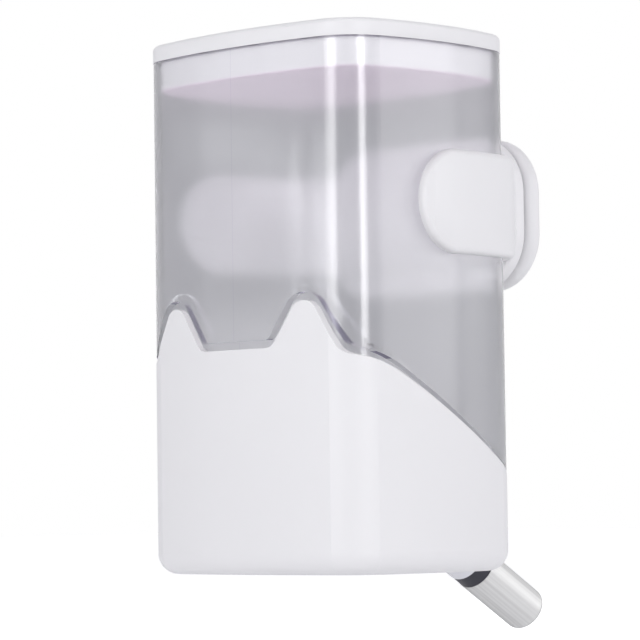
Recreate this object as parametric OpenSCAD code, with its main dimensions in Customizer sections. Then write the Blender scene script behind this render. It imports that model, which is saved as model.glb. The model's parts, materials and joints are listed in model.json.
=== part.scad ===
// Hanging pet waterer: a clear top-filled bottle in a white cat-ear shell, with a ball
// nozzle at the back and a U clip that clamps to cage wires.
// The bottle is drawn with its underside centre at zero, ears to the front (-Y) and
// cage to the back (+Y). The whole assembly is then moved so that the middle of the
// clip's cage face is the origin.

/* [Bottle] */
// Overall width across the bowed sides
bottle_w = 102.2; // [96:0.1:110]
// Overall depth across the bowed front and back
bottle_d = 82.9; // [78:0.1:90]
// Height of the bottle's open rim above the underside
bottle_h = 161.8; // [150:0.1:175]
// Radius of the vertical corners
corner_r = 17; // [14:0.5:20]
// Radius of the gently bowed front and back faces
front_bow_r = 193; // [150:1:260]
// Radius of the gently bowed side faces
side_bow_r = 115; // [95:1:160]
// Thickness of the clear wall
wall_t = 2.4; // [1.8:0.1:3]
// Thickness of the bottle's floor at its lowest point
floor_t = 2.6; // [2:0.1:4]
// Fall of the floor towards the outlet, in degrees
floor_fall = 3; // [1:0.5:5]

/* [Shell] */
// Thickness of the white shell
shell_t = 2.2; // [1.6:0.1:2.8]
// Radius round the shell's bottom edge
shell_foot_r = 6.5; // [4:0.1:9]
// Height of the shell's edge between the ears
brow_z = 68.8; // [60:0.1:78]
// Distance of each ear from the middle
ear_x = 28.6; // [24:0.1:31]
// Height of an ear's rounded tip above the edge between the ears
ear_rise = 13.9; // [10:0.1:17]
// Radius of an ear's tip
ear_tip_r = 5.3; // [4:0.1:7]
// Slope of an ear's inner flank, in degrees
ear_inner_slope = 55; // [48:1:62]
// Slope of an ear's outer flank, in degrees
ear_outer_slope = 60; // [54:1:66]
// Height of the shell's edge at the front corners
cheek_z = 66.6; // [60:0.1:72]
// Height of the shell's edge at the back
back_edge_z = 26.6; // [24:0.1:34]
// Radius of the shell's edge where an ear's inner flank starts
ear_foot_r = 4.5; // [2:0.1:6]
// Radius of the shell's edge where an ear's outer flank ends
cheek_r = 6; // [3:0.1:8]
// Radius of the shell's edge where it turns down the sides
side_bend_r = 45; // [30:1:55]
// Radius of the shell's edge where it levels out at the back
back_bend_r = 20; // [10:1:26]
// Width of the clear shoulder that shows above the ears
shoulder_gap = 2.5; // [1:0.1:3.5]
// Seam between shell and bottle along the sides
seam_gap = 0.4; // [0.3:0.1:1]
// Height of the ribs that the bottle stands on
rib_h = 5.6; // [4:0.1:7]

/* [Lid] */
// Height of the lid's visible rim
lid_rim_h = 5.4; // [4:0.1:8]
// Radius round the lid's top edge
lid_edge_r = 1.6; // [0.6:0.1:2.4]
// Depth of the plug inside the bottle
plug_depth = 9.2; // [6:0.1:14]
// Thickness of the lid's two mouldings
lid_t = 2; // [1.5:0.1:2.4]

/* [Nozzle] */
// Outside diameter of the steel tube
tube_d = 14.7; // [13:0.1:15.5]
// Wall of the steel tube
tube_t = 0.8; // [0.6:0.1:1]
// Angle of the nozzle below level, in degrees
nozzle_angle = 30.75; // [25:0.25:36]
// Height at which the nozzle's axis crosses the back face
nozzle_z = 14.7; // [13:0.1:17]
// Length of the collar outside the back face
collar_len = 23.8; // [22:0.1:28]
// Length of the dark rubber ring
ring_len = 5.5; // [4:0.1:7]
// Length of the steel tube
tube_len = 29.2; // [24:0.1:32]
// Radius of the tube's rolled tip
tip_r = 2.2; // [1.6:0.1:2.3]
// Diameter of the valve ball
ball_d = 11.2; // [10.8:0.1:11.6]
// Free travel of the valve ball
ball_travel = 3; // [2:0.1:4]
// Diameter of the collar's thread
thread_d = 12; // [11:0.1:12.4]
// Bore of the collar
bore_d = 7.2; // [5:0.1:7.6]

/* [Clip] */
// Height of the clip's arms
arm_h = 32; // [26:0.5:36]
// Thickness of the clip's arms
arm_t = 3.4; // [2.6:0.1:4.2]
// How far the arms reach forward of the bottle's middle
arm_reach = 12.7; // [8:0.1:18]
// Space between the clip and the bottle
clip_gap = 0.35; // [0.3:0.05:0.8]
// Height of the clip's middle above the underside
clip_z = 113; // [105:0.5:120]
// Radius on the outer edges of the arms
arm_edge_r = 2.2; // [1:0.1:2.6]
// Width of the clip's back plate
plate_w = 83; // [78:0.5:88]
// Height of both plates
plate_h = 48.6; // [42:0.1:54]
// Corner radius of both plates
plate_r = 18; // [12:0.5:20]
// Thickness of the clip's back plate
plate_t = 5; // [4:0.1:6.5]

/* [Clamp] */
// Width of the clamp plate
jaw_w = 85.2; // [80:0.1:90]
// Thickness of the clamp plate
jaw_t = 6; // [5.4:0.1:7.5]
// Gap between the two plates when they are closed
jaw_gap = 1; // [0.6:0.1:3]
// Diameter of the threaded stud
stud_d = 8; // [6:0.5:8.5]
// Length of stud behind the clip's cage face
stud_len = 23.5; // [22:0.5:26]
// Diameter of the hand knob
knob_d = 34; // [28:0.5:38]
// Length of the hand knob
knob_len = 19; // [18:0.5:22]
// Number of grip scallops round the knob
knob_scallops = 10; // [8:1:14]
// Distance between the two wire grooves in each plate
wire_pitch = 25; // [24:0.2:30]
// Diameter of the wire grooves
wire_groove_d = 3.2; // [2.4:0.1:3.6]

/* [Hidden] */
$fn = 96;

// Colours
clear_plastic = [0.78, 0.78, 0.82, 0.35];
white_plastic = "whitesmoke";
steel = "silver";

// Clearances
slip = 0.25;
running = 0.06;
face_gap = 0.05;
// Cuts run past the faces that they open by this much
over = 1;
big = 400;
bow_fn = 720;
// Rounded corners stand proud by a hair, to cross the bows cleanly
lap = 0.15;

// Outline of the bottle: centres of the bow arcs and of the corner arcs
front_bow_c = front_bow_r - bottle_d / 2;
side_bow_c = side_bow_r - bottle_w / 2;
function corner_centre() =
    let (a = [0, -front_bow_c], b = [-side_bow_c, 0])
    let (ra = front_bow_r - corner_r, rb = side_bow_r - corner_r)
    let (d = norm(b - a), along = (b - a) / d)
    let (x = (ra * ra - rb * rb + d * d) / (2 * d))
    let (h = sqrt(ra * ra - x * x))
    a + along * x + [along[1], -along[0]] * h;
corner_c = corner_centre();
front_half_angle = atan2(corner_c[0], corner_c[1] + front_bow_c);
side_half_angle = atan2(corner_c[1], corner_c[0] + side_bow_c);

// Heights and insets
shell_gap = slip;
recess = shell_t + shell_gap;
shell_step = shell_foot_r - 1.5;
skirt_inset = 0.5;
bottle_foot_z = shell_t + rib_h;
lower_wall_t = wall_t - 0.2;
plug_inset = wall_t + slip;
plug_edge_r = 1;
lid_top_z = bottle_h + lid_rim_h;
back_y = bottle_d / 2;

// Ribs on the shell's floor
rib_t = 1.6;
rib_step = 30;
rib_rows = [-20, 10];
rib_end_y = 22;

// Snap bumps between the shell and the bottle
snap_y = 14;
snap_z = 22;
snap_r = 2;

// Clip and clamp, front to back
arm_inner = clip_gap;
arm_outer = clip_gap + arm_t;
arm_low_z = clip_z - arm_h / 2;
arm_top_z = clip_z + arm_h / 2;
arm_flat_x = bottle_w / 2 + arm_inner + face_gap;
tip_centre_y = arm_h / 2 - arm_reach;
tip_lap = 0.15;
tip_x = bottle_w / 2 + arm_outer + tip_lap;
plate_sink = 0.4;
plate_front_y = back_y + clip_gap + plate_sink;
plate_edge_r = 1.2;
jaw_edge_r = 2.6;
cage_face_y = plate_front_y + plate_t;
jaw_front_y = cage_face_y + jaw_gap;
jaw_back_y = jaw_front_y + jaw_t;
washer_t = 1.2;
washer_d = 24;
knob_front_y = jaw_back_y + washer_t + face_gap;
sleeve_d = stud_d + 5;
sleeve_back_set = 0.3;
sleeve_front_y = jaw_front_y + sleeve_back_set;
sleeve_groove = 0.6;
insert_d = stud_d + 3;
insert_len = 16;
knob_bore = stud_len + over;
ring_recess = 1.6;
ring_t = 1.2;
ring_d = sleeve_d + 6;
ring_y = jaw_front_y + ring_recess - ring_t;
head_d = stud_d + 7;
head_t = 2.4;
head_skin = 1.4;
head_y = back_y + clip_gap + head_skin;
knob_edge_r = 3;
scallop_r = 3.4;
scallop_out = 1.6;
pocket_h = 24.5;
pocket_w = 11.4;
pocket_y = 2.3;
pocket_depth = 0.6;

// Nozzle, along its own axis from the back face
seat_at = -4;
o_ring_t = 1.8;
thread_len = 11;
boss_d = 22;
ring_at = collar_len;
tube_at = collar_len + ring_len;
tip_at = tube_at + tube_len;
tube_bore_d = tube_d - 2 * tube_t;
lip_catch = 0.7;
lip_d = ball_d - 2 * lip_catch;
ball_seat = sqrt(ball_d * ball_d - lip_d * lip_d) / 2;
ball_at = tip_at - tube_t - ball_seat - face_gap;
ball_stop = sqrt(ball_d * ball_d - bore_d * bore_d) / 2;
core_end = ball_at - ball_travel - ball_stop - slip;
ring_core_d = tube_d - 4;
ring_sink = 0.15;
o_ring_sink = 0.2;

// Outline of the ears seen from the front, as corners [x, z, radius]
ear_cut_y = -28;
cheek_lift = 0.6;
cheek_run = 30;
cheek_fall = 12;
ear_half_angle = (180 - ear_inner_slope - ear_outer_slope) / 2;
ear_peak_z = brow_z + ear_rise;
ear_apex_z = ear_peak_z + ear_tip_r / sin(ear_half_angle) - ear_tip_r;
ear_inner_x = ear_x - (ear_apex_z - brow_z) / tan(ear_inner_slope);
ear_outer_z = cheek_z + cheek_lift;
ear_outer_x = ear_x + (ear_apex_z - ear_outer_z) / tan(ear_outer_slope);
ear_half = [
    [ear_inner_x, brow_z, ear_foot_r], [ear_x, ear_apex_z, ear_tip_r],
    [ear_outer_x, ear_outer_z, cheek_r],
    [ear_outer_x + cheek_run, ear_outer_z - cheek_fall, 0]
];
ear_corners = concat(
    [for (i = [3:-1:0]) [-ear_half[i][0], ear_half[i][1], ear_half[i][2]]],
    ear_half
);

// Outline of the shell's edge seen from the side, as corners [y, z, radius], with a gap
// above it that narrows from front to back
cheek_y = -0.71 * back_y;
side_foot_y = 0.93 * back_y;
function side_corners(front_gap, back_gap) = [
    [-2 * back_y, cheek_z + front_gap, 0], [cheek_y, cheek_z + front_gap, side_bend_r],
    [side_foot_y, back_edge_z + back_gap, back_bend_r],
    [2 * back_y, back_edge_z + back_gap, 0]
];

// Paths with rounded corners
function unit(v) = v / norm(v);
function left(v) = [-v[1], v[0]];
function xy(p) = [p[0], p[1]];
function turn(d1, d2) = atan2(d1[0] * d2[1] - d1[1] * d2[0], d1 * d2);
function spin(v, a) = [v[0] * cos(a) - v[1] * sin(a), v[0] * sin(a) + v[1] * cos(a)];
function shifted(path, gap) = [
    for (i = [0:len(path) - 1])
        let (p = xy(path[i]))
        let (d1 = i == 0 ? unit(xy(path[1]) - p) : unit(p - xy(path[i - 1])))
        let (d2 = i == len(path) - 1 ? d1 : unit(xy(path[i + 1]) - p))
        let (miter = (left(d1) + left(d2)) / (1 + left(d1) * left(d2)))
        let (q = p + miter * gap)
        [q[0], q[1], max(path[i][2] - sign(turn(d1, d2)) * gap, 0)]
];
function rounded(path, steps) = [
    for (i = [0:len(path) - 1])
        let (p = xy(path[i]), r = path[i][2])
        if (i == 0 || i == len(path) - 1 || r == 0)
            p
        else
            let (d1 = unit(p - xy(path[i - 1])), d2 = unit(xy(path[i + 1]) - p))
            let (a = turn(d1, d2), start = p - d1 * r * tan(abs(a) / 2))
            let (arm = left(d1) * r * sign(a))
            each [for (k = [0:steps]) start + arm - spin(arm, a * k / steps)]
];
module below(path, steps) {
    pts = rounded(path, steps);
    low = -20;
    polygon(concat(pts, [[pts[len(pts) - 1][0], low], [pts[0][0], low]]));
}

// Space below the shell's edge, grown by a gap that narrows down the sides to the back
module under_edge(front_gap, back_gap) {
    translate([0, ear_cut_y, 0]) rotate([90, 0, 0])
        linear_extrude(back_y) below(shifted(ear_corners, front_gap), 10);
    rotate([90, 0, 90]) translate([0, 0, -bottle_w])
        linear_extrude(2 * bottle_w) below(side_corners(front_gap, back_gap), 16);
}

// Outline of the bottle set in by inset: four bowed faces and four round corners
module outline(inset) {
    difference() {
        intersection() {
            translate([0, -front_bow_c]) circle(r = front_bow_r - inset, $fn = bow_fn);
            translate([0, front_bow_c]) circle(r = front_bow_r - inset, $fn = bow_fn);
            translate([-side_bow_c, 0]) circle(r = side_bow_r - inset, $fn = bow_fn);
            translate([side_bow_c, 0]) circle(r = side_bow_r - inset, $fn = bow_fn);
        }
        for (sx = [0, 1], sy = [0, 1])
            mirror([sx, 0]) mirror([0, sy]) translate(corner_c) corner_waste(inset);
    }
}
module corner_waste(inset) {
    difference() {
        corner_wedge();
        circle(r = corner_r - inset);
    }
}
module corner_wedge() {
    reach = bottle_w / 2;
    polygon([
        [0, 0], reach * [cos(side_half_angle), sin(side_half_angle)],
        [reach, reach], reach * [sin(front_half_angle), cos(front_half_angle)]
    ]);
}
module prism(inset, z0, z1) {
    translate([0, 0, z0]) linear_extrude(z1 - z0) outline(inset);
}

// Section of an outline piece, with rounded outer edges
module edge_section(r_in, r_out, z0, z1, low_r, top_r) {
    difference() {
        translate([r_in, z0]) square([r_out - r_in, z1 - z0]);
        if (low_r > 0)
            translate([r_out - low_r, z0]) difference() {
                translate([0, -over]) square([low_r + over, low_r + over]);
                translate([0, low_r]) circle(r = low_r);
            }
        if (top_r > 0)
            translate([r_out - top_r, z1]) difference() {
                translate([0, -top_r]) square([top_r + over, top_r + over]);
                translate([0, -top_r]) circle(r = top_r);
            }
    }
}

// The same outline as a solid whose outer edges are rounded
module block(inset, z0, z1, low_r = 0, top_r = 0) {
    difference() {
        intersection() {
            disc([0, -front_bow_c], front_bow_r - inset, z0, z1, low_r, top_r);
            disc([0, front_bow_c], front_bow_r - inset, z0, z1, low_r, top_r);
            disc([-side_bow_c, 0], side_bow_r - inset, z0, z1, low_r, top_r);
            disc([side_bow_c, 0], side_bow_r - inset, z0, z1, low_r, top_r);
        }
        for (sx = [0, 1], sy = [0, 1]) mirror([sx, 0, 0]) mirror([0, sy, 0]) difference() {
            translate([corner_c[0], corner_c[1], z0 - over])
                linear_extrude(z1 - z0 + 2 * over) corner_wedge();
            disc(corner_c, corner_r - inset + lap, z0, z1, low_r, top_r);
        }
    }
}
module disc(centre, r, z0, z1, low_r, top_r) {
    translate([centre[0], centre[1], 0]) rotate_extrude($fn = bow_fn)
        edge_section(0, r, z0, z1, low_r, top_r);
}

// Places its children along the nozzle's axis, which is their +Z
module on_nozzle(at = 0) {
    translate([0, back_y, nozzle_z])
        rotate([-90 - nozzle_angle, 0, 0]) translate([0, 0, at]) children();
}
// Places its children with +Z pointing to the cage, from a given depth
module on_clamp(y = 0) {
    translate([0, y, clip_z]) rotate([-90, 0, 0]) children();
}
// Moves the assembly so that the clip's cage face is the origin
module hung() {
    translate([0, -cage_face_y, -clip_z]) children();
}
module ring(d_out, d_in, len) {
    difference() {
        cylinder(d = d_out, h = len);
        translate([0, 0, -over]) cylinder(d = d_in, h = len + 2 * over);
    }
}

// Bumps that hold the shell to the bottle
module snap_spots(inset, r) {
    snap_x = sqrt(pow(side_bow_r, 2) - pow(snap_y, 2)) - side_bow_c - inset;
    for (sx = [0, 1], sy = [0, 1]) mirror([sx, 0, 0]) mirror([0, sy, 0])
        translate([-snap_x, snap_y, snap_z]) sphere(r = r);
}

module bottle() {
    color(clear_plastic) hung() difference() {
        union() {
            difference() {
                prism(0, bottle_foot_z, bottle_h);
                under_edge(shoulder_gap, seam_gap);
            }
            prism(recess, bottle_foot_z, ear_peak_z + shoulder_gap + 2 * recess);
        }
        bottle_cavity();
        on_nozzle(seat_at - 2 * thread_len)
            cylinder(d = thread_d + 2 * running, h = 4 * thread_len);
        on_nozzle(seat_at) cylinder(d = tube_d + 2 * slip, h = collar_len);
        snap_spots(shell_t, snap_r + slip);
    }
}
// Inside of the bottle: wide above the shoulder, narrower behind the shell, with a
// floor that falls to the outlet and a boss left round the collar's thread
module bottle_cavity() {
    difference() {
        union() {
            difference() {
                prism(wall_t, bottle_foot_z, bottle_h + over);
                under_edge(shoulder_gap + wall_t, seam_gap + wall_t);
            }
            prism(recess + lower_wall_t, bottle_foot_z, bottle_h);
        }
        translate([0, back_y, bottle_foot_z + floor_t]) rotate([-floor_fall, 0, 0])
            translate([-big / 2, -big / 2, -big]) cube([big, big, big]);
        on_nozzle(seat_at - thread_len - over) cylinder(d = boss_d, h = collar_len);
    }
}

module base_shell() {
    color(white_plastic) hung() difference() {
        union() {
            difference() {
                intersection() {
                    block(0, 0, ear_peak_z + shoulder_gap, low_r = shell_foot_r);
                    under_edge(0, 0);
                }
                prism(shell_t, shell_step, ear_peak_z + shoulder_gap + over);
                prism(shell_step, shell_t, shell_step + over);
            }
            base_ribs();
            intersection() {
                snap_spots(shell_t, snap_r);
                prism(skirt_inset, snap_z - 2 * snap_r, snap_z + 2 * snap_r);
            }
        }
        on_nozzle(-thread_len) cylinder(d = tube_d + 2 * slip, h = collar_len);
    }
}
// Ribs on the shell's floor that carry the bottle
module base_ribs() {
    intersection() {
        translate([0, 0, shell_t / 2]) linear_extrude(rib_h + shell_t / 2) {
            for (i = [-1:1])
                translate([i * rib_step - rib_t / 2, -back_y]) square([rib_t, 2 * back_y]);
            for (y = rib_rows)
                translate([-bottle_w / 2, y - rib_t / 2]) square([bottle_w, rib_t]);
        }
        prism(shell_step + rib_t, 0, 2 * bottle_foot_z);
        translate([-big / 2, -big / 2, 0]) cube([big, big / 2 + rib_end_y, big]);
    }
}

module lid_cover() {
    color(white_plastic) hung() difference() {
        block(0, bottle_h, lid_top_z, top_r = lid_edge_r);
        block(plug_inset - face_gap, bottle_h - over, lid_top_z - lid_t);
    }
}
module lid_liner() {
    color(white_plastic) hung() difference() {
        block(plug_inset, bottle_h - plug_depth, lid_top_z - lid_t, low_r = plug_edge_r);
        prism(plug_inset + lid_t, bottle_h - plug_depth + lid_t, lid_top_z);
    }
}

module nozzle_collar() {
    color([0.86, 0.86, 0.89]) hung() on_nozzle() difference() {
        union() {
            translate([0, 0, seat_at - thread_len])
                cylinder(d = thread_d, h = thread_len + o_ring_t + over);
            translate([0, 0, seat_at + o_ring_t])
                cylinder(d = tube_d, h = ring_at - seat_at - o_ring_t);
            translate([0, 0, ring_at - over])
                cylinder(d = ring_core_d, h = ring_len + 2 * over);
            translate([0, 0, tube_at])
                cylinder(d = tube_bore_d - 2 * running, h = core_end - tube_at);
        }
        translate([0, 0, -big / 2]) cylinder(d = bore_d, h = big);
    }
}
module collar_o_ring() {
    color([0.9, 0.88, 0.88]) hung() on_nozzle(seat_at)
        ring(tube_d - 2 * o_ring_sink, thread_d + 2 * face_gap, o_ring_t);
}
module nozzle_ring() {
    color([0.12, 0.12, 0.14]) hung() on_nozzle(ring_at)
        ring(tube_d - 2 * ring_sink, ring_core_d + 2 * face_gap, ring_len);
}
// Steel tube whose tip is rolled in to hold the ball
module nozzle_tube() {
    inner_tip_r = tip_r - tube_t;
    color(steel) hung() on_nozzle() rotate_extrude() difference() {
        edge_section(lip_d / 2, tube_d / 2, tube_at, tip_at, 0, tip_r);
        edge_section(0, tube_bore_d / 2, tube_at - over, tip_at - tube_t, 0, inner_tip_r);
    }
}
module valve_ball() {
    color(steel) hung() on_nozzle(ball_at) sphere(d = ball_d);
}

// U clip: two arms with round tips, the band round the bottle's back, and the plate
// that the cage wires lie against
module clip_bracket() {
    color(white_plastic) hung() difference() {
        union() {
            clip_band();
            on_clamp(plate_front_y) rounded_plate(plate_w, plate_t, plate_edge_r);
        }
        wire_grooves(cage_face_y);
        on_clamp(head_y - face_gap) cylinder(d = head_d + 2 * face_gap, h = head_t + 2 * face_gap);
        on_clamp(head_y) cylinder(d = stud_d + 2 * face_gap, h = 2 * plate_t);
        arm_pockets();
    }
}
module clip_band() {
    intersection() {
        difference() {
            block(-arm_outer, arm_low_z, arm_top_z, arm_edge_r, arm_edge_r);
            prism(-arm_inner, arm_low_z - over, arm_top_z + over);
            translate([-arm_flat_x, tip_centre_y - big, arm_low_z - over])
                cube([2 * arm_flat_x, big, arm_h + 2 * over]);
        }
        union() {
            translate([-big / 2, tip_centre_y, 0]) cube([big, big, big]);
            translate([0, tip_centre_y, clip_z]) rotate([0, 90, 0]) for (sx = [0, 1])
                mirror([0, 0, sx]) rotate_extrude()
                edge_section(0, arm_h / 2 + tip_lap, 0, tip_x, 0, arm_edge_r);
        }
    }
}
// Shallow pockets inside the arms
module arm_pockets() {
    for (sx = [-1, 1])
        translate([sx * (bottle_w / 2 + arm_inner), pocket_y, clip_z])
            cube([2 * pocket_depth, pocket_w, pocket_h], center = true);
}

// Plate with round corners whose thickness runs along +Z, with rounded outer edges
module rounded_plate(w, t, edge_r) {
    for (sx = [-1, 1], sy = [-1, 1])
        translate([sx * (w / 2 - plate_r), sy * (plate_h / 2 - plate_r), 0])
            rotate_extrude() edge_section(0, plate_r, 0, t, edge_r, edge_r);
    for (a = [0, 180]) rotate([0, 0, a]) {
        plate_bar(w / 2, plate_h / 2 - plate_r, t, edge_r);
        rotate([0, 0, 90]) plate_bar(plate_h / 2, w / 2 - plate_r, t, edge_r);
    }
}
module plate_bar(reach, half, t, edge_r) {
    translate([0, half, 0]) rotate([90, 0, 0])
        linear_extrude(2 * half) edge_section(0, reach, 0, t, edge_r, edge_r);
}
module wire_grooves(y) {
    for (sx = [-1, 1])
        translate([sx * wire_pitch / 2, y, clip_z])
            cylinder(d = wire_groove_d, h = plate_h + 2 * over, center = true);
}

module clamp_stud() {
    color(steel) hung() {
        on_clamp(head_y) cylinder(d = head_d, h = head_t);
        on_clamp(head_y) cylinder(d = stud_d, h = cage_face_y - head_y + stud_len);
    }
}
module clamp_plate() {
    color(white_plastic) hung() difference() {
        on_clamp(jaw_front_y) rounded_plate(jaw_w, jaw_t, jaw_edge_r);
        wire_grooves(jaw_front_y);
        on_clamp(jaw_front_y - over)
            cylinder(d = sleeve_d + 2 * running, h = jaw_t + 2 * over);
        on_clamp(jaw_front_y - over)
            cylinder(d = ring_d + 4 * slip, h = ring_recess + over);
    }
}
module clamp_washer() {
    color(steel) hung() on_clamp(jaw_back_y) ring(washer_d, sleeve_d + 2 * slip, washer_t);
}
module clamp_knob() {
    color(white_plastic) hung() difference() {
        union() {
            on_clamp(knob_front_y) knob_head();
            on_clamp(sleeve_front_y)
                cylinder(d = sleeve_d, h = knob_front_y - sleeve_front_y + over);
        }
        on_clamp(sleeve_front_y - over) cylinder(d = insert_d, h = knob_bore);
        on_clamp(ring_y)
            ring(sleeve_d + 2, sleeve_d - 2 * sleeve_groove, ring_t + face_gap);
    }
}
module knob_head() {
    difference() {
        rotate_extrude() edge_section(0, knob_d / 2, 0, knob_len, knob_edge_r / 2, knob_edge_r);
        for (i = [0:knob_scallops - 1])
            rotate([0, 0, i * 360 / knob_scallops])
                translate([knob_d / 2 + scallop_out, 0, -over])
                cylinder(r = scallop_r, h = knob_len + 2 * over);
    }
}
module knob_insert() {
    color("goldenrod") hung() on_clamp(sleeve_front_y)
        ring(insert_d - face_gap, stud_d + 2 * running, insert_len);
}
module retaining_ring() {
    color(steel) hung() on_clamp(ring_y)
        ring(ring_d, sleeve_d - 2 * sleeve_groove + 2 * running, ring_t);
}

bottle();
base_shell();
lid_cover();
lid_liner();
nozzle_collar();
collar_o_ring();
nozzle_ring();
nozzle_tube();
valve_ball();
clip_bracket();
clamp_stud();
clamp_plate();
clamp_washer();
clamp_knob();
knob_insert();
retaining_ring();
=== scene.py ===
import json
import math

import bpy
from mathutils import Matrix, Vector


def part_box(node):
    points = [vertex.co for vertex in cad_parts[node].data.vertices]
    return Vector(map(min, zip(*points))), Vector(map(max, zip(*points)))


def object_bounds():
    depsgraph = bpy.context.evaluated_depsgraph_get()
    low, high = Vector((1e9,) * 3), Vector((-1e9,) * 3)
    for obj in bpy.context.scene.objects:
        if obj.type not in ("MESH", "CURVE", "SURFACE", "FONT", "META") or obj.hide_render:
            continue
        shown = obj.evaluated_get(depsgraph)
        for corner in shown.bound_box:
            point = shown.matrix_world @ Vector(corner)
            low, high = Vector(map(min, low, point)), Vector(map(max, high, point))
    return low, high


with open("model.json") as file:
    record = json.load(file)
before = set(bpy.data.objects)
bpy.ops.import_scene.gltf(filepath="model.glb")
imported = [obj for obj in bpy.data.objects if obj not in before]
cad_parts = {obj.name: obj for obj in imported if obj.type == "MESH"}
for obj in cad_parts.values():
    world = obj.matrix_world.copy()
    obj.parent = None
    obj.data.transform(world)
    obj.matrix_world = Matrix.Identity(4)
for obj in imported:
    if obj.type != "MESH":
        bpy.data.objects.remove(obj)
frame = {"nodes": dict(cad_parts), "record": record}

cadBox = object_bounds()
nodes = frame["nodes"]


# Shader node groups shared by several finishes

def newGroup(name, inputs, outputs):
    tree = bpy.data.node_groups.new(name, "ShaderNodeTree")
    for socketName, kind, value in inputs:
        socket = tree.interface.new_socket(socketName, in_out="INPUT", socket_type=kind)
        socket.default_value = value
    for socketName, kind in outputs:
        tree.interface.new_socket(socketName, in_out="OUTPUT", socket_type=kind)
    start = tree.nodes.new("NodeGroupInput")
    end = tree.nodes.new("NodeGroupOutput")
    return tree, start, end


def addNode(tree, kind, **settings):
    node = tree.nodes.new(kind)
    for key, value in settings.items():
        setattr(node, key, value)
    return node


def mathNode(tree, operation, first, second=None, clamp=False):
    node = addNode(tree, "ShaderNodeMath", operation=operation, use_clamp=clamp)
    for index, value in enumerate((first, second)):
        if value is None:
            continue
        if isinstance(value, (int, float)):
            node.inputs[index].default_value = value
        else:
            tree.links.new(value, node.inputs[index])
    return node.outputs[0]


def noiseNode(tree, vector, scale, detail):
    node = addNode(tree, "ShaderNodeTexNoise")
    node.inputs["Detail"].default_value = detail
    tree.links.new(vector, node.inputs["Vector"])
    if isinstance(scale, (int, float)):
        node.inputs["Scale"].default_value = scale
    else:
        tree.links.new(scale, node.inputs["Scale"])
    return node.outputs["Fac"]


def mixColour(tree, share, first, second):
    node = addNode(tree, "ShaderNodeMix", data_type="RGBA")
    tree.links.new(share, node.inputs["Factor"])
    for name, colour in (("A", first), ("B", second)):
        if isinstance(colour, tuple):
            node.inputs[name].default_value = (*colour, 1)
        else:
            tree.links.new(colour, node.inputs[name])
    return node.outputs["Result"]


def groupOutputs():
    return [("Colour", "NodeSocketColor"), ("Roughness", "NodeSocketFloat"),
            ("Height", "NodeSocketFloat")]


# Colour that gets lighter and darker with a pattern, by the group's own spread
def variedColour(tree, start, pattern):
    centred = mathNode(tree, "SUBTRACT", pattern, 0.5)
    tone = mathNode(tree, "ADD", 1.0,
                    mathNode(tree, "MULTIPLY", centred, start.outputs["Tone Spread"]))
    shade = addNode(tree, "ShaderNodeVectorMath", operation="SCALE")
    tree.links.new(start.outputs["Colour"], shade.inputs[0])
    tree.links.new(tone, shade.inputs["Scale"])
    return shade.outputs[0]


def variedRoughness(tree, start, pattern):
    centred = mathNode(tree, "SUBTRACT", pattern, 0.5)
    spread = mathNode(tree, "MULTIPLY", centred, start.outputs["Roughness Spread"])
    return mathNode(tree, "ADD", spread, start.outputs["Roughness"], clamp=True)


# Moulded skin: a cloudy tone, a fine grain and slow waves in the surface
skinPattern = {"cloudScale": 28.0, "cloudDetail": 4.0, "grainDetail": 3.0, "waveDetail": 1.0}


def makeMouldedSkin():
    tree, start, end = newGroup(
        "mouldedSkin",
        [("Colour", "NodeSocketColor", (0.9, 0.9, 0.9, 1)),
         ("Tone Spread", "NodeSocketFloat", 0.02),
         ("Roughness", "NodeSocketFloat", 0.35),
         ("Roughness Spread", "NodeSocketFloat", 0.06),
         ("Grain Scale", "NodeSocketFloat", 2600.0),
         ("Wave Scale", "NodeSocketFloat", 45.0),
         ("Grain", "NodeSocketFloat", 0.4)],
        groupOutputs())
    place = addNode(tree, "ShaderNodeTexCoord").outputs["Object"]
    cloud = noiseNode(tree, place, skinPattern["cloudScale"], skinPattern["cloudDetail"])
    grain = noiseNode(tree, place, start.outputs["Grain Scale"], skinPattern["grainDetail"])
    waves = noiseNode(tree, place, start.outputs["Wave Scale"], skinPattern["waveDetail"])
    height = mathNode(tree, "ADD", mathNode(tree, "MULTIPLY", grain, start.outputs["Grain"]),
                      waves)
    tree.links.new(variedColour(tree, start, cloud), end.inputs["Colour"])
    tree.links.new(variedRoughness(tree, start, grain), end.inputs["Roughness"])
    tree.links.new(height, end.inputs["Height"])
    return tree


# Metal with fine lines along an axis, from a stretched noise
linePattern = {"detail": 4.0}


def makeTurnedLines():
    tree, start, end = newGroup(
        "turnedLines",
        [("Colour", "NodeSocketColor", (0.7, 0.7, 0.7, 1)),
         ("Tilt", "NodeSocketVector", (0.0, 0.0, 0.0)),
         ("Stretch", "NodeSocketVector", (1.0, 1.0, 0.02)),
         ("Line Scale", "NodeSocketFloat", 900.0),
         ("Tone Spread", "NodeSocketFloat", 0.15),
         ("Roughness", "NodeSocketFloat", 0.25),
         ("Roughness Spread", "NodeSocketFloat", 0.2)],
        groupOutputs())
    place = addNode(tree, "ShaderNodeTexCoord").outputs["Object"]
    turned = addNode(tree, "ShaderNodeMapping", vector_type="POINT")
    tree.links.new(place, turned.inputs["Vector"])
    tree.links.new(start.outputs["Tilt"], turned.inputs["Rotation"])
    pulled = addNode(tree, "ShaderNodeVectorMath", operation="MULTIPLY")
    tree.links.new(turned.outputs[0], pulled.inputs[0])
    tree.links.new(start.outputs["Stretch"], pulled.inputs[1])
    lines = noiseNode(tree, pulled.outputs[0], start.outputs["Line Scale"],
                      linePattern["detail"])
    tree.links.new(variedColour(tree, start, lines), end.inputs["Colour"])
    tree.links.new(variedRoughness(tree, start, lines), end.inputs["Roughness"])
    tree.links.new(lines, end.inputs["Height"])
    return tree


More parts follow.
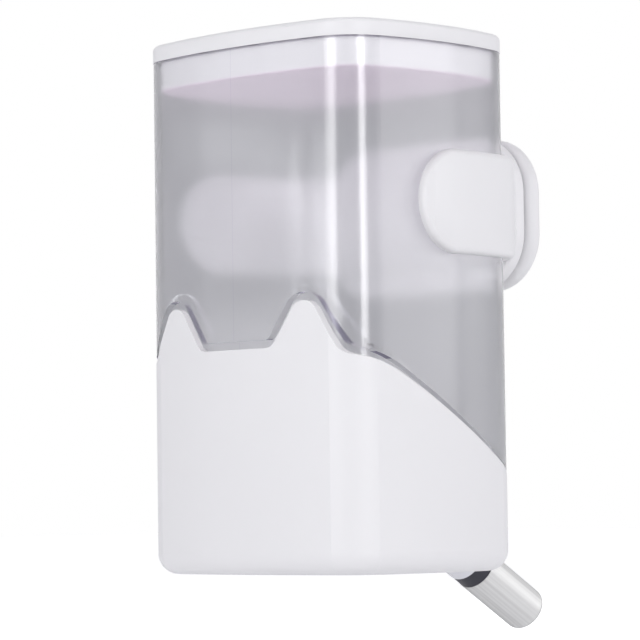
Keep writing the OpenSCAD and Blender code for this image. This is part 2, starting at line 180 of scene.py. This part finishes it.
mouldedSkin = makeMouldedSkin()
turnedLines = makeTurnedLines()


# Materials

def newMaterial(name):
    material = bpy.data.materials.new(name)
    material.use_nodes = True
    tree = material.node_tree
    shader = tree.nodes["Principled BSDF"]
    return material, tree, shader


def dressShader(tree, shader, group, values, bumpStrength, bumpDistance, extraHeight=None):
    skin = addNode(tree, "ShaderNodeGroup", node_tree=group)
    for key, value in values.items():
        skin.inputs[key].default_value = value
    bump = addNode(tree, "ShaderNodeBump")
    bump.inputs["Strength"].default_value = bumpStrength
    bump.inputs["Distance"].default_value = bumpDistance
    height = skin.outputs["Height"]
    if extraHeight is not None:
        height = mathNode(tree, "ADD", height, extraHeight)
    tree.links.new(skin.outputs["Colour"], shader.inputs["Base Color"])
    tree.links.new(skin.outputs["Roughness"], shader.inputs["Roughness"])
    tree.links.new(height, bump.inputs["Height"])
    tree.links.new(bump.outputs["Normal"], shader.inputs["Normal"])
    return skin


def dressPlastic(tree, shader, look, extraHeight=None):
    skin = dressShader(tree, shader, mouldedSkin,
                       {"Colour": (*look["colour"], 1), "Tone Spread": look["tone"],
                        "Roughness": look["roughness"],
                        "Roughness Spread": look["roughSpread"],
                        "Grain Scale": look["grainScale"], "Grain": look["grain"],
                        "Wave Scale": look["waveScale"]},
                       look["bump"], look["bumpDepth"], extraHeight)
    shader.inputs["IOR"].default_value = look["ior"]
    shader.inputs["Coat Weight"].default_value = look["coat"]
    shader.inputs["Coat Roughness"].default_value = look["coatRoughness"]
    return skin


def plasticMaterial(name, look):
    material, tree, shader = newMaterial(name)
    dressPlastic(tree, shader, look)
    return material


def metalMaterial(name, look):
    material, tree, shader = newMaterial(name)
    dressShader(tree, shader, turnedLines,
                {"Colour": (*look["colour"], 1), "Tilt": look["tilt"],
                 "Stretch": look["stretch"], "Line Scale": look["lineScale"],
                 "Tone Spread": look["tone"], "Roughness": look["roughness"],
                 "Roughness Spread": look["roughSpread"]},
                look["bump"], look["bumpDepth"])
    shader.inputs["Metallic"].default_value = 1.0
    # The grey edge tint darkens the metal's reflection towards its outline, a painted shade
    # for darker surroundings reflected there
    shader.inputs["Specular Tint"].default_value = (*look["edgeShadeTint"], 1)
    return material


# A painted pink bounce-light tint for the faces that look down
def paintUndersideBounce(material, look):
    tree = material.node_tree
    shader = tree.nodes["Principled BSDF"]
    surface = addNode(tree, "ShaderNodeNewGeometry")
    split = addNode(tree, "ShaderNodeSeparateXYZ")
    tree.links.new(surface.outputs["True Normal"], split.inputs[0])
    under = mathNode(tree, "LESS_THAN", split.outputs["Z"], look["bounceTintSlope"])
    plain = shader.inputs["Base Color"].links[0].from_socket
    tinted = mixColour(tree, under, plain, look["bounceTintColour"])
    tree.links.new(tinted, shader.inputs["Base Color"])


# Clear plastic with a hairline where the two mould halves met, at X = 0, and a painted dark
# bluish shade on the shoulder ledges and upper rim, standing in for the darkening that thick
# plastic shows when it is seen edge on
clearLook = {
    "colour": (0.97, 0.97, 0.985), "tone": 0.02, "roughness": 0.38, "roughSpread": 0.05,
    "grainScale": 900.0, "grain": 0.05, "waveScale": 18.0, "bump": 0.06,
    "bumpDepth": 0.0006, "ior": 1.08, "lineWidth": 0.00015, "lineHeight": 0.6,
    "lineColour": (0.86, 0.85, 0.90), "rimDepth": 0.0003, "rimShadeColour": (0.42, 0.38, 0.50),
    "coat": 1.0, "coatRoughness": 0.14, "coatIor": 1.5, "lightPass": 0.99,
    "ledgeShadeColour": (0.16, 0.15, 0.24), "outerSlope": -0.9, "innerSlope": -0.3,
    "frontBow": 0.193, "sideBow": 0.115, "cornerRadius": 0.017, "ledgeWidth": 0.005,
}


def clearMaterial(name, look):
    material, tree, shader = newMaterial(name)
    place = addNode(tree, "ShaderNodeTexCoord").outputs["Object"]
    split = addNode(tree, "ShaderNodeSeparateXYZ")
    tree.links.new(place, split.inputs[0])
    offLine = mathNode(tree, "ABSOLUTE", split.outputs["X"])
    line = mathNode(tree, "LESS_THAN", offLine, look["lineWidth"])
    raised = mathNode(tree, "MULTIPLY", line, look["lineHeight"])
    skin = dressPlastic(tree, shader, look, raised)
    lined = mixColour(tree, line, skin.outputs["Colour"], look["lineColour"])
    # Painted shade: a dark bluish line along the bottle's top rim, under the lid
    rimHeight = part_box("bottle")[1][2] - look["rimDepth"]
    rimShade = mathNode(tree, "GREATER_THAN", split.outputs["Z"], rimHeight)
    rimShaded = mixColour(tree, rimShade, lined, look["rimShadeColour"])
    # Painted shade: dark bluish faces that look down near the outline, on the shoulder ledges
    ledgeShade = mathNode(tree, "MULTIPLY", ledgeShadeMask(tree, look), nearOutline(tree, split, look))
    tinted = mixColour(tree, ledgeShade, rimShaded, look["ledgeShadeColour"])
    tree.links.new(tinted, shader.inputs["Base Color"])
    shader.inputs["Transmission Weight"].default_value = 1.0
    shader.inputs["Coat IOR"].default_value = look["coatIor"]
    passLight(tree, shader, look["lightPass"])
    return material


# Finds faces that look down, for the painted shade on the shoulder ledges. A ray inside the
# plastic meets their back, where the normal is turned round and steeper faces count too
def ledgeShadeMask(tree, look):
    surface = addNode(tree, "ShaderNodeNewGeometry")
    split = addNode(tree, "ShaderNodeSeparateXYZ")
    tree.links.new(surface.outputs["True Normal"], split.inputs[0])
    inside = surface.outputs["Backfacing"]
    facing = mathNode(tree, "SUBTRACT", 1.0, mathNode(tree, "MULTIPLY", inside, 2.0))
    slope = mathNode(tree, "MULTIPLY", split.outputs["Z"], facing)
    widening = look["innerSlope"] - look["outerSlope"]
    limit = mathNode(tree, "ADD", mathNode(tree, "MULTIPLY", inside, widening),
                     look["outerSlope"])
    return mathNode(tree, "LESS_THAN", slope, limit)


def lengthOf(tree, first, second):
    squares = mathNode(tree, "ADD", mathNode(tree, "MULTIPLY", first, first),
                       mathNode(tree, "MULTIPLY", second, second))
    return mathNode(tree, "SQRT", squares)


# How far a point lies past a bowed face that is moved inwards by the corner's radius
def beyondBow(tree, along, across, bow, half, corner):
    pushed = mathNode(tree, "ADD", along, bow - half)
    past = mathNode(tree, "SUBTRACT", lengthOf(tree, pushed, across), bow - corner)
    return mathNode(tree, "MAXIMUM", past, 0.0)


# Finds what lies near the bottle's outline of four bowed faces with round corners
def nearOutline(tree, split, look):
    low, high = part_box("bottle")
    middle, corner = (low[1] + high[1]) / 2, look["cornerRadius"]
    fromMiddle = mathNode(tree, "SUBTRACT", split.outputs["Y"], middle)
    lengthways = mathNode(tree, "ABSOLUTE", fromMiddle)
    sideways = mathNode(tree, "ABSOLUTE", split.outputs["X"])
    pastFront = beyondBow(tree, lengthways, sideways, look["frontBow"],
                          (high[1] - low[1]) / 2, corner)
    pastSide = beyondBow(tree, sideways, lengthways, look["sideBow"],
                         (high[0] - low[0]) / 2, corner)
    return mathNode(tree, "GREATER_THAN", lengthOf(tree, pastFront, pastSide),
                    corner - look["ledgeWidth"])


# Lets lamps and soft bounced light straight through, so that pieces inside are lit
def passLight(tree, shader, share):
    path = addNode(tree, "ShaderNodeLightPath")
    soft = mathNode(tree, "MAXIMUM", path.outputs["Is Shadow Ray"],
                    path.outputs["Is Diffuse Ray"])
    clear = addNode(tree, "ShaderNodeBsdfTransparent")
    clear.inputs["Color"].default_value = (share, share, share, 1)
    mix = addNode(tree, "ShaderNodeMixShader")
    tree.links.new(soft, mix.inputs[0])
    tree.links.new(shader.outputs[0], mix.inputs[1])
    tree.links.new(clear.outputs[0], mix.inputs[2])
    tree.links.new(mix.outputs[0], tree.nodes["Material Output"].inputs["Surface"])


whiteLook = {
    "colour": (0.84, 0.835, 0.85), "tone": 0.03, "roughness": 0.44, "roughSpread": 0.08,
    "grainScale": 2200.0, "grain": 0.35, "waveScale": 30.0, "bump": 0.10,
    "bumpDepth": 0.0004, "ior": 1.46, "coat": 0.15, "coatRoughness": 0.38,
}
collarLook = dict(whiteLook, colour=(0.72, 0.72, 0.76), roughness=0.25)
# The liner is a little darker and more lilac than the other white plastic, as painted shade,
# and its faces that look down get a painted pink bounce-light tint
linerLook = dict(whiteLook, colour=(0.82, 0.81, 0.835), roughness=0.34,
                 bounceTintColour=(0.87, 0.745, 0.86), bounceTintSlope=-0.5)
sealLook = dict(whiteLook, colour=(0.62, 0.58, 0.58), roughness=0.5, coat=0.0)
blackRubberLook = dict(whiteLook, colour=(0.030, 0.030, 0.042), tone=0.3, roughness=0.45,
                       bump=0.25, grain=1.0, coat=0.0, coatRoughness=0.3)

nozzleAngle = math.radians(30.75)
# The nozzle steel's strong streaks along its axis are partly the tube's own fine lines and
# partly painted reflection streaks
steelLook = {
    "colour": (0.77, 0.77, 0.76), "tilt": (nozzleAngle, 0.0, 0.0),
    "stretch": (1.0, 0.008, 1.0), "lineScale": 1000.0, "tone": 0.50, "roughness": 0.50,
    "roughSpread": 0.12, "bump": 0.02, "bumpDepth": 0.0002, "edgeShadeTint": (0.50, 0.50, 0.51),
}
ballLook = dict(steelLook, colour=(0.8, 0.8, 0.81), tone=0.03, roughness=0.08,
                roughSpread=0.04, bump=0.02)
zincLook = dict(steelLook, colour=(0.6, 0.61, 0.63), tone=0.08, tilt=(0.0, 0.0, 0.0),
                stretch=(1.0, 1.0, 1.0), lineScale=700.0, roughness=0.35)
brassLook = dict(zincLook, colour=(0.72, 0.52, 0.22), roughness=0.3)

materials = {
    "bottle": clearMaterial("clearPlastic", clearLook),
    "shell": plasticMaterial("whiteShellPlastic", whiteLook),
    "lid": plasticMaterial("whiteLidPlastic", dict(whiteLook, roughness=0.42)),
    "clip": plasticMaterial("whiteClipPlastic", dict(whiteLook, roughness=0.46)),
    "collar": plasticMaterial("collarPlastic", collarLook),
    "seal": plasticMaterial("siliconeSeal", sealLook),
    "nozzle_ring": plasticMaterial("blackRubber", blackRubberLook),
    "steel": metalMaterial("nozzleSteel", steelLook),
    "ball": metalMaterial("ballSteel", ballLook),
    "stud": metalMaterial("zincSteel", zincLook),
    "insert": metalMaterial("brass", brassLook),
}
linerMaterial = plasticMaterial("linerPlastic", linerLook)
# The liner's undersides get the painted pink bounce light
paintUndersideBounce(linerMaterial, linerLook)
print("materials:", len(materials) + 1)


# CAD nodes: each keeps its shape and gets its finish, and four get softer edges

edgeWidths = {"lid_cover": 0.0004, "clip_bracket": 0.0003, "clamp_plate": 0.0003,
              "clamp_knob": 0.0004}
softEdge = {"weldDistance": 0.000002, "segments": 2, "angle": math.radians(38)}


def softenEdges(node, width):
    weld = node.modifiers.new("weld", "WELD")
    weld.merge_threshold = softEdge["weldDistance"]
    bevel = node.modifiers.new("softEdge", "BEVEL")
    bevel.width = width
    bevel.segments = softEdge["segments"]
    bevel.limit_method = "ANGLE"
    bevel.angle_limit = softEdge["angle"]
    bevel.harden_normals = True


for entry in frame["record"]["subparts"]:
    nodeName, slotName = entry["node"], entry["material_slot"]
    node = nodes[nodeName]
    node.data.materials.clear()
    finish = linerMaterial if nodeName == "lid_liner" else materials[slotName]
    node.data.materials.append(finish)
    if nodeName in edgeWidths:
        softenEdges(node, edgeWidths[nodeName])


# Studio: pale floor, soft lights and a white backdrop

studio = {
    "floorDrop": 0.035, "floorSize": 6.0, "floorColour": (0.93, 0.93, 0.94),
    "floorRoughness": 0.8,
    "floorGlow": 0.58, "floorBounce": 0.04, "backdrop": (1.0, 1.0, 1.0),
    "surroundings": (0.36, 0.36, 0.38), "reflected": (0.8, 0.8, 0.82),
}
target = Vector((0.0, -0.047, -0.034))
cameraPlace = Vector((0.72483, -0.77728, -0.09127))
towardsCamera = math.degrees(math.atan2(cameraPlace.y - target.y, cameraPlace.x - target.x))


def addFloor():
    size = studio["floorSize"]
    z = cadBox[0][2] - studio["floorDrop"]
    mesh = bpy.data.meshes.new("floor")
    mesh.from_pydata([(-size, -size, z), (size, -size, z), (size, size, z), (-size, size, z)],
                     [], [(0, 1, 2, 3)])
    floor = bpy.data.objects.new("floor", mesh)
    bpy.context.scene.collection.objects.link(floor)
    material, tree, shader = newMaterial("paleFloor")
    shader.inputs["Base Color"].default_value = (*studio["floorColour"], 1)
    shader.inputs["Roughness"].default_value = studio["floorRoughness"]
    shader.inputs["Emission Color"].default_value = (1, 1, 1, 1)
    path = addNode(tree, "ShaderNodeLightPath")
    glow = mathNode(tree, "MULTIPLY", path.outputs["Is Camera Ray"], studio["floorGlow"])
    glow = mathNode(tree, "ADD", glow, studio["floorBounce"])
    tree.links.new(glow, shader.inputs["Emission Strength"])
    mesh.materials.append(material)


def addSurroundings():
    world = bpy.data.worlds.new("studio")
    bpy.context.scene.world = world
    world.use_nodes = True
    tree = world.node_tree
    path = addNode(tree, "ShaderNodeLightPath")
    mirrored = mathNode(tree, "SUBTRACT", path.outputs["Is Glossy Ray"],
                        path.outputs["Is Transmission Ray"], clamp=True)
    around = mixColour(tree, mirrored, studio["surroundings"], studio["reflected"])
    shown = mixColour(tree, path.outputs["Is Camera Ray"], around, studio["backdrop"])
    tree.links.new(shown, tree.nodes["Background"].inputs["Color"])


# Each light faces the part and stands at an angle to the camera's direction, seen from above.
# The back one is a soft fill that shows in no reflection, and the rear strip only gleams
lights = [
    {"name": "leftStrip", "turn": -41, "height": 0.1, "distance": 1.5, "size": (0.54, 1.4),
     "power": 9.6, "colour": (1.0, 1.0, 1.0)},
    {"name": "rightStrip", "turn": 25, "height": 0.1, "distance": 1.5, "size": (0.36, 1.4),
     "power": 8.2, "colour": (1.0, 1.0, 1.0)},
    {"name": "rightBox", "turn": 80, "height": 0.5, "distance": 1.4, "size": (0.9, 1.2),
     "power": 4.2, "colour": (1.0, 0.99, 1.0)},
    {"name": "rearStrip", "turn": 105, "height": 0.15, "distance": 1.4, "size": (0.3, 1.0),
     "power": 0.55, "colour": (1.0, 1.0, 1.0), "gleamOnly": True},
    {"name": "leftBox", "turn": -85, "height": 0.4, "distance": 1.6, "size": (0.9, 1.2),
     "power": 1.6, "colour": (0.98, 0.98, 1.0)},
    {"name": "topBox", "turn": 0, "height": 1.5, "distance": 0.5, "size": (1.2, 1.2),
     "power": 1.2, "colour": (1.0, 1.0, 1.0)},
    {"name": "backBox", "turn": 175, "height": 0.9, "distance": 1.3, "size": (1.0, 1.0),
     "power": 8.0, "colour": (1.0, 1.0, 1.0), "fillOnly": True},
]


def addLights():
    for light in lights:
        data = bpy.data.lights.new(light["name"], "AREA")
        data.shape = "RECTANGLE"
        data.size, data.size_y = light["size"]
        data.energy = light["power"]
        data.color = light["colour"]
        lamp = bpy.data.objects.new(light["name"], data)
        bpy.context.scene.collection.objects.link(lamp)
        if light.get("fillOnly"):
            lamp.visible_glossy = False
            lamp.visible_transmission = False
        if light.get("gleamOnly"):
            lamp.visible_diffuse = False
        turn = math.radians(towardsCamera + light["turn"])
        lamp.location = target + Vector((math.cos(turn) * light["distance"],
                                         math.sin(turn) * light["distance"],
                                         light["height"]))
        lamp.rotation_euler = (lamp.location - target).to_track_quat("Z", "Y").to_euler()


# Camera from the fit of the bottle's outline to the photograph
camera = {"azimuth": 44.95, "elevation": -3.20, "roll": -0.794, "lens": 184.06,
          "sensor": 36.0, "nearest": 0.05}


def addCamera():
    azimuth = math.radians(camera["azimuth"])
    elevation = math.radians(camera["elevation"])
    roll = math.radians(camera["roll"])
    back = Vector((math.sin(azimuth) * math.cos(elevation),
                   -math.cos(azimuth) * math.cos(elevation), math.sin(elevation)))
    right = Vector((math.cos(azimuth), math.sin(azimuth), 0.0))
    up = back.cross(right)
    turnedRight = right * math.cos(roll) + up * math.sin(roll)
    turnedUp = up * math.cos(roll) - right * math.sin(roll)
    data = bpy.data.cameras.new("photoCamera")
    data.lens = camera["lens"]
    data.sensor_width = camera["sensor"]
    data.clip_start = camera["nearest"]
    shot = bpy.data.objects.new("photoCamera", data)
    bpy.context.scene.collection.objects.link(shot)
    axes = Matrix((turnedRight, turnedUp, back)).transposed().to_4x4()
    shot.matrix_world = Matrix.Translation(cameraPlace) @ axes
    bpy.context.scene.camera = shot


addFloor()
addSurroundings()
addLights()
addCamera()
bpy.context.scene.view_settings.view_transform = "Standard"
print("studio ready")
